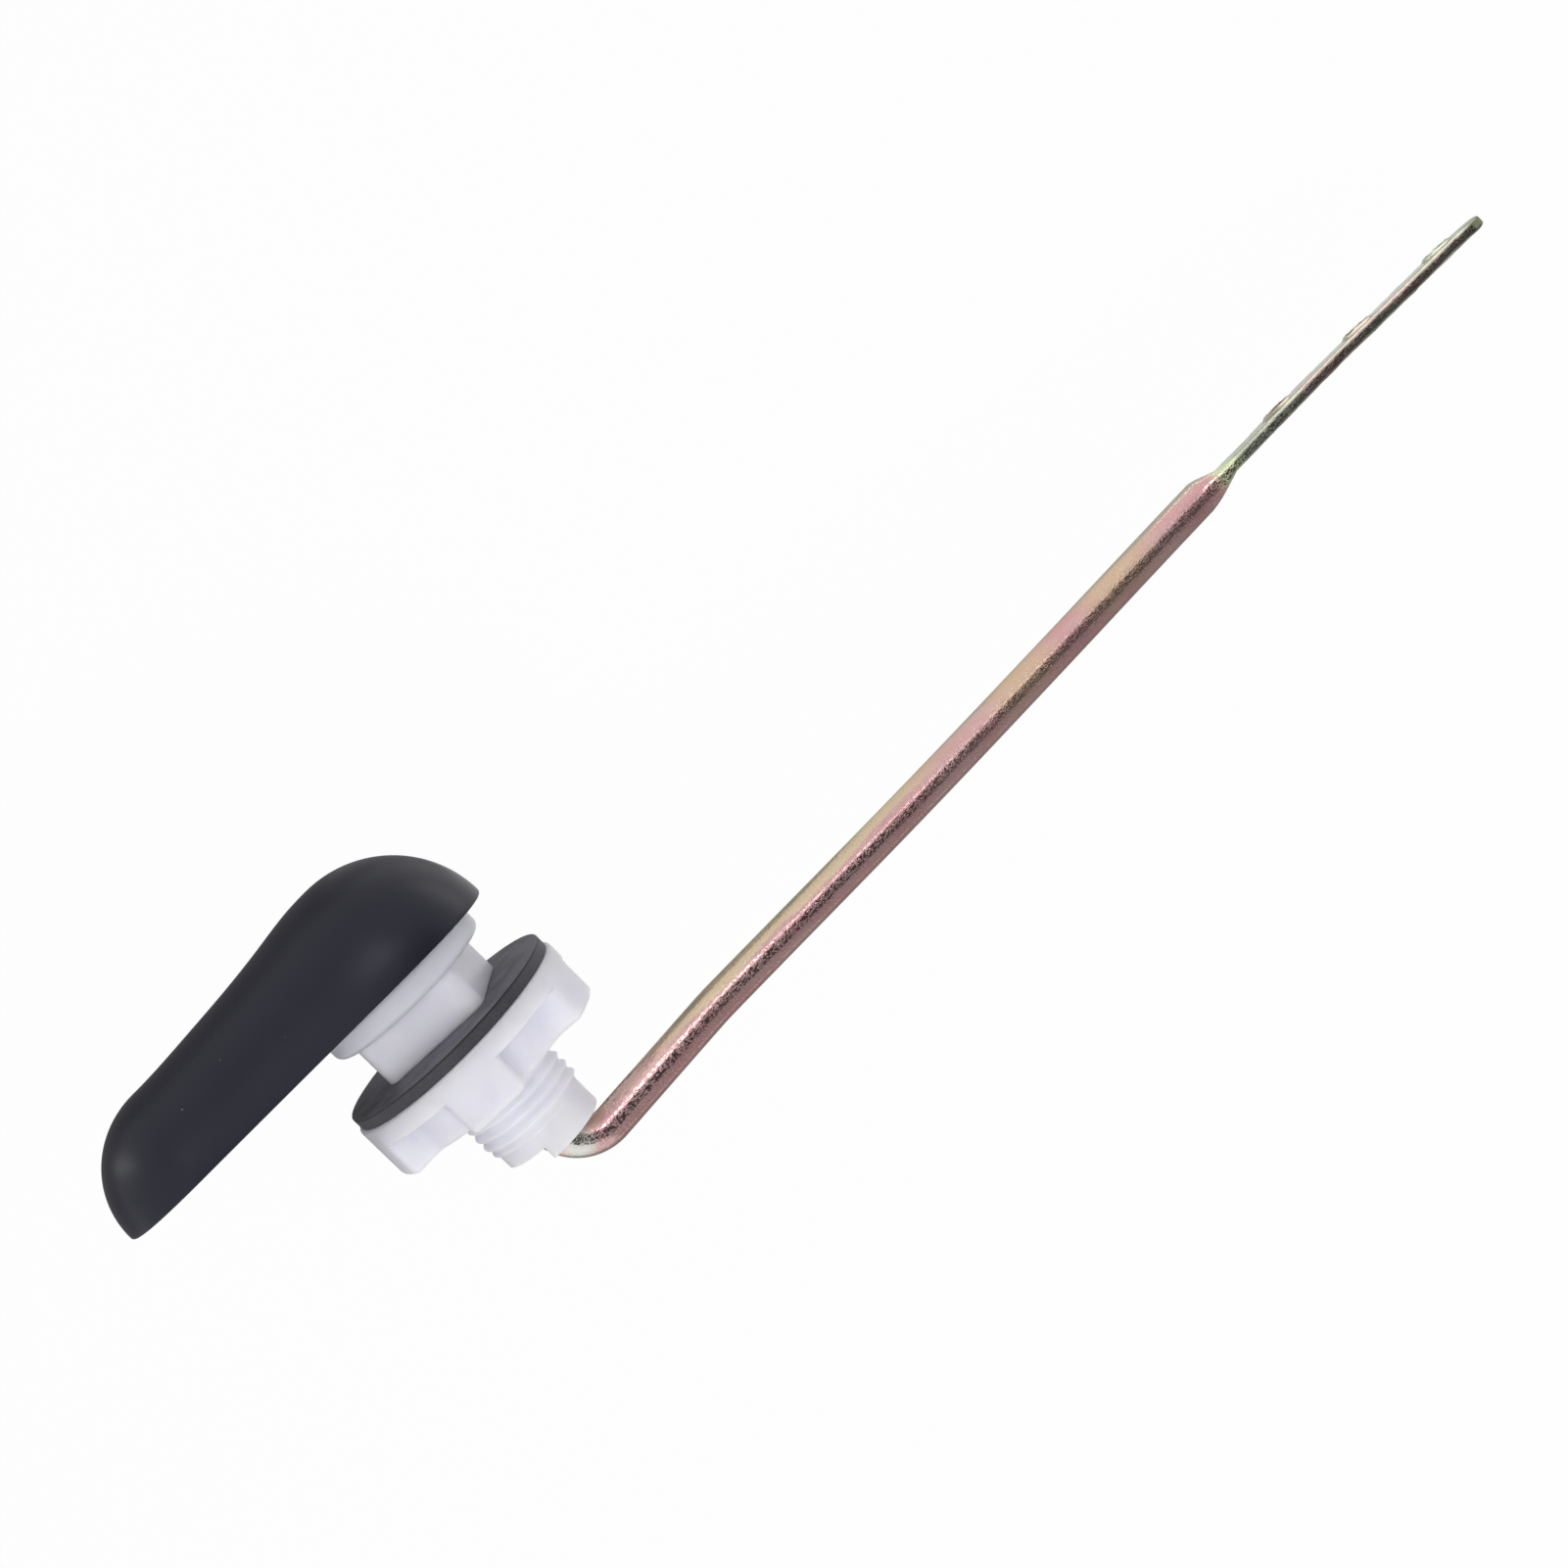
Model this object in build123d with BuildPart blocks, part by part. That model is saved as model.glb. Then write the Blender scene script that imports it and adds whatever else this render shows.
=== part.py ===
from build123d import *
import os
from math import asin, cos, degrees, radians, sin

os.makedirs("parts", exist_ok=True)

# Shared frame, in millimetres: the pivot runs along +Y into the cistern, +Z is up, and the wall
# seat of the bushing flange lies on y = 0. The handle is outside, on the -Y side.

# clearances
running_gap = 0.08
body_gap = 0.35
press_gap = 0.02

# lever attitude at rest: handle raised and rod drooping by this angle
rest_angle = 18.0
lever_travel = 40.0
stop_margin = 1.0

# rod
rod_d = 6.0
square_end = 4.2
square_length = 10.0
bend_r = 7.0
arm_root_y = 36.1
arm_slope = 2.7
root_length = 22.0
kick_r = 60.0
swage_x = 146.0
swage_length = 7.0
flat_length = 60.5
flat_t = 2.0
flat_w = 10.0
flat_edge_r = 0.5
flat_twist = 9.0
flat_lean = 0.8
hole_d = 4.0
hole_count = 3
hole_pitch = 19.9
hole_end_gap = 9.0
collar_d = 6.4
collar_h = 0.3

# bushing
flange_d = 28.6
flange_t = 4.4
flange_edge_r = 1.2
neck_across = 19.0
neck_length = 7.2
neck_corner = 2.2
thread_major_d = 17.9
thread_root_d = 16.9
thread_end_y = 27.2
shank_d = 16.2
shank_end_y = 29.5
half_step = 2.3
shank_edge_r = 0.4
mouth_d = 12.0
mouth_depth = 6.0
stop_in_r = 8.2
stop_out_r = 11.8
stop_h = 3.0
stop_spread = 30.0
stop_middle = 90.0

# washer and nut
washer_d = 38.2
washer_t = 2.1
washer_gap = 0.25
nut_flange_d = 39.2
nut_flange_t = 3.3
nut_h = 9.5
nut_hub_d = 30.4
lobe_w = 10.2
lobe_count = 5
lobe_turn = 9.0
lobe_corner_r = 1.1
nut_edge_r = 1.05

# handle: half of a turned shape, with a round head, a slightly waisted blade and a round nose
rim_y = -3.55
head_r = 17.85
shoulder_x = 4.6
shoulder_in = 0.2
throat_x = 10.3
throat_in = 1.0
grip_x = 18.7
grip_in = 2.05
tail_x = 27.0
tail_in = 2.75
nose_r = 14.5
blade_tip_x = 52.6
rim_arch_r = 165.0
rim_flat = 0.08
wall_t = 2.2
hub_d = 14.0
hub_top_h = 16.0
rib_t = 2.0
rib_out_r = 15.5
rib_top_h = 8.5
spine_end_x = 36.0
spine_low_h = 4.0
spine_top_h = 13.6

# derived levels and angles
washer_y = neck_length
washer_hole_d = thread_major_d + 2 * washer_gap
nut_y = washer_y + washer_t
nut_bore_d = thread_major_d + 2 * running_gap
hub_y = -flange_t - body_gap
hub_h = rim_y - hub_y
bend_start_y = arm_root_y - bend_r
arm_tilt = radians(arm_slope)
arm_y = bend_start_y + bend_r * cos(arm_tilt) - root_length * sin(arm_tilt) - kick_r * (1 - cos(arm_tilt))
flat_x = swage_x + swage_length
rod_end_x = flat_x + flat_length
hole_spots = [(flat_length - hole_end_gap - i * hole_pitch, 0) for i in range(hole_count)]
nose_x = blade_tip_x - nose_r
blade_line = [(shoulder_x, shoulder_in), (throat_x, throat_in), (grip_x, grip_in), (tail_x, tail_in)]
rib_lead = degrees(asin(rib_t / 2 / stop_in_r)) + stop_margin
rib_low = stop_middle - stop_spread / 2 - rib_lead - rest_angle
rib_high = stop_middle + stop_spread / 2 + rib_lead + lever_travel - rest_angle

# lever axes at rest
lever_x = Vector(cos(radians(rest_angle)), 0, sin(radians(rest_angle)))
lever_z = Vector(-sin(radians(rest_angle)), 0, cos(radians(rest_angle)))
outward = Vector(0, -1, 0)
flat_along = lever_x * -cos(radians(flat_lean)) - outward * sin(radians(flat_lean))
flat_level = outward * cos(radians(flat_lean)) - lever_x * sin(radians(flat_lean))
flat_out = flat_level * cos(radians(flat_twist)) - lever_z * sin(radians(flat_twist))
lever_line = Axis((0, rim_y, 0), lever_x)


def cross_plane(y):
    return Plane(origin=(0, y, 0), x_dir=(1, 0, 0), z_dir=(0, 1, 0))


def lever_plane(y):
    return Plane(origin=(0, y, 0), x_dir=lever_x, z_dir=outward)


def arm_point(x):
    return lever_x * -x + Vector(0, arm_y, 0)


def flat_point(x):
    return arm_point(flat_x) + flat_along * (x - flat_x)


def handle_outline(inset):
    head = CenterArc((0, 0), head_r - inset, 90, 90)
    nose = CenterArc((nose_x, 0), nose_r - inset, 0, 90)
    waist = [(x, head_r - drawn_in - inset) for x, drawn_in in blade_line]
    Spline([head @ 0] + waist + [nose @ 1], tangents=[(1, 0), (1, 0)])
    Line(head @ 1, nose @ 0)


# bushing: flange, square neck, threaded shank with a half-round step at its end, bore and rotation stop
with BuildPart() as bushing:
    with BuildSketch(cross_plane(-flange_t)):
        Circle(flange_d / 2)
    extrude(amount=flange_t)
    fillet(bushing.edges().filter_by(GeomType.CIRCLE), flange_edge_r)
    with BuildSketch(cross_plane(0)):
        RectangleRounded(neck_across, neck_across, neck_corner)
    extrude(amount=neck_length)
    with BuildSketch(cross_plane(neck_length)):
        Circle(shank_d / 2)
    extrude(amount=shank_end_y + half_step - neck_length)
    with BuildSketch(cross_plane(shank_end_y)):
        with Locations((shank_d / 2, 0)):
            Rectangle(shank_d, 2 * shank_d)
    extrude(amount=half_step, mode=Mode.SUBTRACT)
    fillet(bushing.edges().filter_by(GeomType.CIRCLE).sort_by(Axis.Y)[-2:], shank_edge_r)
    with BuildSketch(cross_plane(neck_length)):
        Circle(thread_root_d / 2)
    extrude(amount=thread_end_y - neck_length)
    with BuildSketch(cross_plane(shank_end_y + half_step)):
        Circle(mouth_d / 2)
    extrude(amount=-mouth_depth, mode=Mode.SUBTRACT)
    with BuildSketch(cross_plane(-flange_t)):
        Circle(rod_d / 2 + running_gap)
    extrude(amount=flange_t + shank_end_y, mode=Mode.SUBTRACT)
    with BuildSketch(cross_plane(-flange_t)):
        with BuildLine():
            CenterArc((0, 0), stop_out_r, -stop_middle - stop_spread / 2, stop_spread)
            CenterArc((0, 0), stop_in_r, -stop_middle - stop_spread / 2, stop_spread)
            for side in (-1, 1):
                turn = radians(-stop_middle + side * stop_spread / 2)
                Line(
                    (stop_in_r * cos(turn), stop_in_r * sin(turn)),
                    (stop_out_r * cos(turn), stop_out_r * sin(turn)),
                )
        make_face()
    extrude(amount=-stop_h)
bushing.part.label = "bushing"
export_step(bushing.part, "parts/bushing.step")

# rubber washer clamped between the wall and the nut
with BuildPart() as rubber_washer:
    with BuildSketch(cross_plane(washer_y)):
        Circle(washer_d / 2)
        Circle(washer_hole_d / 2, mode=Mode.SUBTRACT)
    extrude(amount=washer_t)
rubber_washer.part.label = "rubber_washer"
export_step(rubber_washer.part, "parts/rubber_washer.step")

# lock nut: flange with a hub and square-sided lobes for the fingers, flush with the flange
with BuildPart() as lock_nut:
    with BuildSketch(cross_plane(nut_y)) as nut_outline:
        Circle(nut_hub_d / 2)
        with PolarLocations(0, lobe_count, start_angle=-90 - lobe_turn):
            Rectangle(nut_flange_d, lobe_w, align=(Align.MIN, Align.CENTER))
        Circle(nut_flange_d / 2, mode=Mode.INTERSECT)
        fillet(nut_outline.vertices(), lobe_corner_r)
    extrude(amount=nut_h)
    fillet(lock_nut.faces().sort_by(Axis.Y)[-1].edges(), nut_edge_r)
    with BuildSketch(cross_plane(nut_y)):
        Circle(nut_flange_d / 2)
    extrude(amount=nut_flange_t)
    with BuildSketch(cross_plane(nut_y)):
        Circle(nut_bore_d / 2)
    extrude(amount=nut_h, mode=Mode.SUBTRACT)
lock_nut.part.label = "lock_nut"
export_step(lock_nut.part, "parts/lock_nut.step")

# lever rod: square front end, round shank, bend, arm and flattened tip with chain holes
flat_plane = Plane(origin=flat_point(flat_x), x_dir=flat_along, z_dir=flat_out)
shank_path_plane = Plane(origin=(0, 0, 0), x_dir=-lever_x, z_dir=-lever_z)
with BuildPart() as lever_rod:
    with BuildSketch(lever_plane(hub_y)):
        Rectangle(square_end, square_end)
    extrude(amount=square_length)
    with BuildLine(shank_path_plane) as arm_path:
        shank_line = Line((0, hub_y), (0, bend_start_y))
        bend = JernArc(shank_line @ 1, (0, 1), bend_r, -90 - arm_slope)
        root_line = PolarLine(bend @ 1, root_length, direction=bend % 1)
        kick = JernArc(root_line @ 1, root_line % 1, kick_r, arm_slope)
        Line(kick @ 1, (swage_x, arm_y))
    with BuildSketch(Plane(origin=(0, hub_y, 0), x_dir=lever_x, z_dir=(0, 1, 0))):
        Circle(rod_d / 2)
    sweep(path=arm_path.line)
    with BuildSketch(Plane(origin=arm_point(swage_x), x_dir=outward, z_dir=-lever_x)):
        Circle(rod_d / 2)
    with BuildSketch(Plane(origin=flat_point(flat_x), x_dir=flat_out, z_dir=flat_along)):
        RectangleRounded(flat_t, flat_w, flat_edge_r)
    loft()
    with BuildSketch(Plane(origin=flat_point(flat_x), x_dir=flat_out, z_dir=flat_along)):
        RectangleRounded(flat_t, flat_w, flat_edge_r)
    extrude(amount=flat_length)
    with BuildSketch(Plane(origin=flat_point(rod_end_x - flat_w / 2), x_dir=flat_along, z_dir=flat_out)):
        with Locations((flat_w / 2, 0)):
            Rectangle(flat_w, flat_w)
        Circle(flat_w / 2, mode=Mode.SUBTRACT)
    extrude(amount=rod_d, both=True, mode=Mode.SUBTRACT)
    with BuildSketch(flat_plane.offset(flat_t / 2)):
        with Locations(*hole_spots):
            Circle(collar_d / 2)
    extrude(amount=collar_h)
    with BuildSketch(flat_plane):
        with Locations(*hole_spots):
            Circle(hole_d / 2)
    extrude(amount=rod_d, both=True, mode=Mode.SUBTRACT)
lever_rod.part.label = "lever_rod"
export_step(lever_rod.part, "parts/lever_rod.step")

arch_start = Vector(0, rim_y + rim_flat - rim_arch_r, 0) - lever_x * blade_tip_x
arch_plane = Plane(origin=arch_start, x_dir=lever_z, z_dir=lever_x)

# handle: hollow shell with a hub for the square end of the rod and ribs that meet the stop
with BuildPart() as handle:
    with BuildSketch(lever_plane(rim_y)):
        with BuildLine():
            handle_outline(0)
        make_face()
    revolve(axis=lever_line, revolution_arc=180)
    with BuildSketch(lever_plane(rim_y)):
        with BuildLine():
            handle_outline(wall_t)
        make_face()
    revolve(axis=lever_line, revolution_arc=180, mode=Mode.SUBTRACT)
    with BuildSketch(lever_plane(hub_y)):
        Circle(hub_d / 2)
    extrude(amount=hub_top_h - hub_h)
    with BuildSketch(lever_plane(hub_y)):
        for turn in (rib_low, rib_high, -rib_low, -rib_high):
            with Locations(Rotation(0, 0, turn)):
                with Locations((rib_out_r / 2, 0)):
                    Rectangle(rib_out_r, rib_t)
    extrude(amount=rib_top_h - hub_h)
    with BuildSketch(Plane(origin=(0, rim_y, 0), x_dir=lever_x, z_dir=-lever_z)):
        Polygon((0, spine_low_h), (spine_end_x, spine_low_h), (spine_end_x, spine_top_h), (0, hub_top_h), align=None)
    extrude(amount=rib_t / 2, both=True)
    with BuildSketch(lever_plane(hub_y)):
        Rectangle(square_end + 2 * press_gap, square_end + 2 * press_gap)
    extrude(amount=square_length + body_gap, mode=Mode.SUBTRACT)
    with BuildSketch(arch_plane):
        Circle(rim_arch_r)
    extrude(amount=2 * blade_tip_x, mode=Mode.INTERSECT)
handle.part.label = "handle"
export_step(handle.part, "parts/handle.step")
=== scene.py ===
import math
import bmesh
import bpy
import numpy as np
from mathutils import Matrix, Vector, noise


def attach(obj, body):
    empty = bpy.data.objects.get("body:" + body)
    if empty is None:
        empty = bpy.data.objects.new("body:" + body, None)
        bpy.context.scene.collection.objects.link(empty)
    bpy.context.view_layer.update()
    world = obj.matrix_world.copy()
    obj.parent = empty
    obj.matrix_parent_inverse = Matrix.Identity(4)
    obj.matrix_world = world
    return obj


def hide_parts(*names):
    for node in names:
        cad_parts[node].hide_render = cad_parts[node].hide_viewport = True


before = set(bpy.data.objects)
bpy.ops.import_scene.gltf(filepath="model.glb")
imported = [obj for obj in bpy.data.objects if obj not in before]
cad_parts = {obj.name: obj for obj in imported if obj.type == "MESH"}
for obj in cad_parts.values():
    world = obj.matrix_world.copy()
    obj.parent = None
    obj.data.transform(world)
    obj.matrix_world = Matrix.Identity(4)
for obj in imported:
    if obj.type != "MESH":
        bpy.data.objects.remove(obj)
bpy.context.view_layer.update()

mm = 0.001
scene = bpy.context.scene
scene.view_settings.view_transform = "Standard"

# attitude of the lever at rest, shared by the rod, the handle and their finishes
restTurn = math.radians(18.0)
leverX = Vector((math.cos(restTurn), 0, math.sin(restTurn)))
leverZ = Vector((-math.sin(restTurn), 0, math.cos(restTurn)))
intoTank = Vector((0, 1, 0))


# node helpers

def addNode(tree, kind, values=None, **settings):
    node = tree.nodes.new("ShaderNode" + kind)
    for key, value in settings.items():
        setattr(node, key, value)
    for key, value in (values or {}).items():
        node.inputs[key].default_value = value
    return node


def wire(tree, fromSocket, toSocket):
    tree.links.new(fromSocket, toSocket)


def calc(tree, operation, first, second):
    node = addNode(tree, "Math", operation=operation)
    for socket, value in zip(node.inputs, (first, second)):
        if isinstance(value, (int, float)):
            socket.default_value = value
        else:
            wire(tree, value, socket)
    return node.outputs[0]


def times(tree, first, second):
    return calc(tree, "MULTIPLY", first, second)


def measure(tree, operation, position, other):
    # length along a direction, or distance from a place
    node = addNode(tree, "VectorMath", {1: other}, operation=operation)
    wire(tree, position, node.inputs[0])
    return node.outputs["Value"]


def remap(tree, value, fromLow, fromHigh, toLow=0.0, toHigh=1.0):
    limits = {"From Min": fromLow, "From Max": fromHigh, "To Min": toLow, "To Max": toHigh}
    node = addNode(tree, "MapRange", limits, interpolation_type="SMOOTHSTEP")
    wire(tree, value, node.inputs["Value"])
    return node.outputs["Result"]


def mixColour(tree, factor, first, second):
    node = addNode(tree, "Mix", data_type="RGBA")
    sockets = {socket.identifier: socket for socket in node.inputs}
    for name, value in (("Factor_Float", factor), ("A_Color", first), ("B_Color", second)):
        if isinstance(value, tuple):
            sockets[name].default_value = (*value, 1.0)
        else:
            wire(tree, value, sockets[name])
    return next(socket for socket in node.outputs if socket.identifier == "Result_Color")


def makeGroup(name, inputs, outputs):
    # every group takes a position; its other sockets are plain numbers
    group = bpy.data.node_groups.new(name, "ShaderNodeTree")
    group.interface.new_socket("Position", in_out="INPUT", socket_type="NodeSocketVector")
    for socketName, default in inputs.items():
        socket = group.interface.new_socket(socketName, in_out="INPUT", socket_type="NodeSocketFloat")
        socket.default_value = default
    for socketName in outputs:
        group.interface.new_socket(socketName, in_out="OUTPUT", socket_type="NodeSocketFloat")
    return group, group.nodes.new("NodeGroupInput"), group.nodes.new("NodeGroupOutput")


def placeGroup(tree, group, position, values):
    node = addNode(tree, "Group", node_tree=group)
    wire(tree, position, node.inputs["Position"])
    for key, value in values.items():
        node.inputs[key].default_value = value
    return node


# shared surface effects

def makeGrainGroup():
    # fine and broad noise, and a height that blends the two
    inputs = {"Fine Scale": 3000.0, "Broad Scale": 300.0, "Broad Share": 0.5}
    group, start, end = makeGroup("Moulded Grain", inputs, ["Height", "Fine", "Broad"])
    fine = addNode(group, "TexNoise", {"Detail": 3.0, "Roughness": 0.6})
    broad = addNode(group, "TexNoise", {"Detail": 2.0, "Roughness": 0.5})
    for name, node in (("Fine", fine), ("Broad", broad)):
        wire(group, start.outputs["Position"], node.inputs["Vector"])
        wire(group, start.outputs[name + " Scale"], node.inputs["Scale"])
        wire(group, node.outputs[0], end.inputs[name])
    blend = addNode(group, "Mix")
    wire(group, start.outputs["Broad Share"], blend.inputs["Factor"])
    wire(group, fine.outputs[0], blend.inputs["A"])
    wire(group, broad.outputs[0], blend.inputs["B"])
    wire(group, blend.outputs[0], end.inputs["Height"])
    return group


def makeSpeckGroup():
    # a dot in the middle of some cells
    inputs = {"Cells": 150.0, "Share": 0.05, "Size": 0.05}
    group, start, end = makeGroup("Dust Specks", inputs, ["Mask"])
    cells = addNode(group, "TexVoronoi")
    wire(group, start.outputs["Position"], cells.inputs["Vector"])
    wire(group, start.outputs["Cells"], cells.inputs["Scale"])
    chance = addNode(group, "SeparateColor")
    wire(group, cells.outputs["Color"], chance.inputs[0])
    chosen = calc(group, "LESS_THAN", chance.outputs[0], start.outputs["Share"])
    near = calc(group, "LESS_THAN", cells.outputs["Distance"], start.outputs["Size"])
    wire(group, times(group, chosen, near), end.inputs["Mask"])
    return group


# how far an edge turns before it shows as worn, and the noise that breaks it up
edgeLook = {"samples": 4, "worn": (0.995, 0.85), "breakDetail": 2.0, "breaks": (0.3, 0.65)}


def makeEdgeGroup():
    group, start, end = makeGroup("Edge Wear", {"Radius": 0.4 * mm, "Break Scale": 900.0}, ["Mask"])
    rounded = addNode(group, "Bevel", samples=edgeLook["samples"])
    wire(group, start.outputs["Radius"], rounded.inputs["Radius"])
    surface = addNode(group, "NewGeometry")
    facing = addNode(group, "VectorMath", operation="DOT_PRODUCT")
    wire(group, rounded.outputs[0], facing.inputs[0])
    wire(group, surface.outputs["Normal"], facing.inputs[1])
    edge = remap(group, facing.outputs["Value"], *edgeLook["worn"])
    breaks = addNode(group, "TexNoise", {"Detail": edgeLook["breakDetail"]})
    wire(group, start.outputs["Position"], breaks.inputs["Vector"])
    wire(group, start.outputs["Break Scale"], breaks.inputs["Scale"])
    broken = remap(group, breaks.outputs[0], *edgeLook["breaks"])
    wire(group, times(group, edge, broken), end.inputs["Mask"])
    return group


grainGroup = makeGrainGroup()
speckGroup = makeSpeckGroup()
edgeGroup = makeEdgeGroup()


# materials

noiseRange = (0.3, 0.7)  # the part of its range that a noise mostly fills
tightRange = (0.35, 0.65)


def emptyMaterial(name):
    material = bpy.data.materials.new(name)
    material.use_nodes = True
    material.node_tree.nodes.clear()
    return material, material.node_tree


def showShader(tree, shader, output="OutputMaterial"):
    wire(tree, shader.outputs[0], addNode(tree, output).inputs["Surface"])


def startMaterial(name):
    material, tree = emptyMaterial(name)
    shader = addNode(tree, "BsdfPrincipled")
    showShader(tree, shader)
    return material, tree, shader, addNode(tree, "TexCoord").outputs["Object"]


def finishSurface(tree, shader, look, colour, grain, height):
    # colour, roughness that follows the grain, and bump
    wire(tree, colour, shader.inputs["Base Color"])
    wire(tree, remap(tree, grain, *noiseRange, *look["roughness"]), shader.inputs["Roughness"])
    bump = addNode(tree, "Bump", {"Strength": look["bump"], "Distance": look["bumpDepth"]})
    wire(tree, height, bump.inputs["Height"])
    wire(tree, bump.outputs[0], shader.inputs["Normal"])


# satin black moulded plastic of the handle
handleLook = {
    "deep": (0.0125, 0.0130, 0.0230), "pale": (0.0155, 0.0160, 0.0270), "dust": (0.16, 0.16, 0.17),
    "worn": (0.05, 0.05, 0.055), "wornShare": 0.5, "roughness": (0.34, 0.40), "gloss": 0.25,
    "grain": {"Fine Scale": 4200.0, "Broad Scale": 60.0, "Broad Share": 0.1},
    "specks": {"Cells": 220.0, "Share": 0.9, "Size": 0.028},
    "edges": {"Radius": 0.3 * mm}, "bump": 0.10, "bumpDepth": 0.08 * mm,
}


def makeHandlePlastic():
    look = handleLook
    material, tree, shader, position = startMaterial("handlePlastic")
    grain = placeGroup(tree, grainGroup, position, look["grain"])
    specks = placeGroup(tree, speckGroup, position, look["specks"])
    edges = placeGroup(tree, edgeGroup, position, look["edges"])
    worn = times(tree, edges.outputs["Mask"], look["wornShare"])
    colour = mixColour(tree, grain.outputs["Broad"], look["deep"], look["pale"])
    colour = mixColour(tree, worn, colour, look["worn"])
    colour = mixColour(tree, specks.outputs["Mask"], colour, look["dust"])
    shader.inputs["Specular IOR Level"].default_value = look["gloss"]
    finishSurface(tree, shader, look, colour, grain.outputs["Broad"], grain.outputs["Height"])
    return material


# milky white moulded plastic of the bushing and the nut
milkyLook = {
    "shade": (0.775, 0.77, 0.850), "light": (0.835, 0.83, 0.910), "mark": (0.45, 0.44, 0.45),
    # flange: painted shade, the colour of the flange where the handle's rim shades it
    "markShare": 0.6, "flange": (0.71, 0.715, 0.805), "flangeY": (0.8 * mm, -0.6 * mm),
    "scatter": 1.0, "scatterRadius": (1.0, 0.97, 1.05), "scatterScale": 4.5 * mm,
    "grain": {"Fine Scale": 2200.0, "Broad Scale": 140.0, "Broad Share": 0.6},
    "specks": {"Cells": 160.0, "Share": 0.05, "Size": 0.03},
    "roughness": (0.28, 0.40), "bump": 0.06, "bumpDepth": 0.12 * mm,
}


def makeMilkyPlastic():
    look = milkyLook
    material, tree, shader, position = startMaterial("milkyPlastic")
    grain = placeGroup(tree, grainGroup, position, look["grain"])
    specks = placeGroup(tree, speckGroup, position, look["specks"])
    shade = remap(tree, grain.outputs["Broad"], *tightRange)
    colour = mixColour(tree, shade, look["shade"], look["light"])
    # painted shade: the flange under the handle's rim is painted greyer and bluer, as if in the
    # handle's shadow
    y = measure(tree, "DOT_PRODUCT", position, intoTank)
    colour = mixColour(tree, remap(tree, y, *look["flangeY"]), colour, look["flange"])
    marks = times(tree, specks.outputs["Mask"], look["markShare"])
    colour = mixColour(tree, marks, colour, look["mark"])
    shader.inputs["Subsurface Weight"].default_value = look["scatter"]
    shader.inputs["Subsurface Radius"].default_value = look["scatterRadius"]
    shader.inputs["Subsurface Scale"].default_value = look["scatterScale"]
    finishSurface(tree, shader, look, colour, grain.outputs["Broad"], grain.outputs["Height"])
    return material


# dull dark rubber of the washer
rubberLook = {
    "deep": (0.034, 0.033, 0.041), "pale": (0.057, 0.055, 0.067), "dust": (0.22, 0.21, 0.20),
    # face: painted light, the paler colour of the lit face towards the handle
    "face": (0.165, 0.161, 0.187), "litFaceY": (7.40 * mm, 7.24 * mm), "litFaceGrain": (0.25, 0.6, 0.4, 1.0),
    "rim": (0.012, 0.012, 0.014), "rimStart": (7.26 * mm, 7.34 * mm), "rimEnd": (7.66 * mm, 7.52 * mm),
    "grain": {"Fine Scale": 2600.0, "Broad Scale": 170.0, "Broad Share": 0.35},
    "specks": {"Cells": 170.0, "Share": 0.10, "Size": 0.03},
    "roughness": (0.50, 0.66), "bump": 0.35, "bumpDepth": 0.1 * mm,
}


def makeWasherRubber():
    look = rubberLook
    material, tree, shader, position = startMaterial("washerRubber")
    grain = placeGroup(tree, grainGroup, position, look["grain"])
    specks = placeGroup(tree, speckGroup, position, look["specks"])
    shade = remap(tree, grain.outputs["Height"], *tightRange)
    colour = mixColour(tree, shade, look["deep"], look["pale"])
    # painted light: the face towards the handle is painted paler, as if lit and catching a sheen,
    # mottled by the grain; with a dark line round its edge
    y = measure(tree, "DOT_PRODUCT", position, intoTank)
    mottle = remap(tree, grain.outputs["Broad"], *look["litFaceGrain"])
    face = times(tree, remap(tree, y, *look["litFaceY"]), mottle)
    colour = mixColour(tree, face, colour, look["face"])
    rim = times(tree, remap(tree, y, *look["rimStart"]), remap(tree, y, *look["rimEnd"]))
    colour = mixColour(tree, rim, colour, look["rim"])
    colour = mixColour(tree, specks.outputs["Mask"], colour, look["dust"])
    finishSurface(tree, shader, look, colour, grain.outputs["Fine"], grain.outputs["Height"])
    return material


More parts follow.
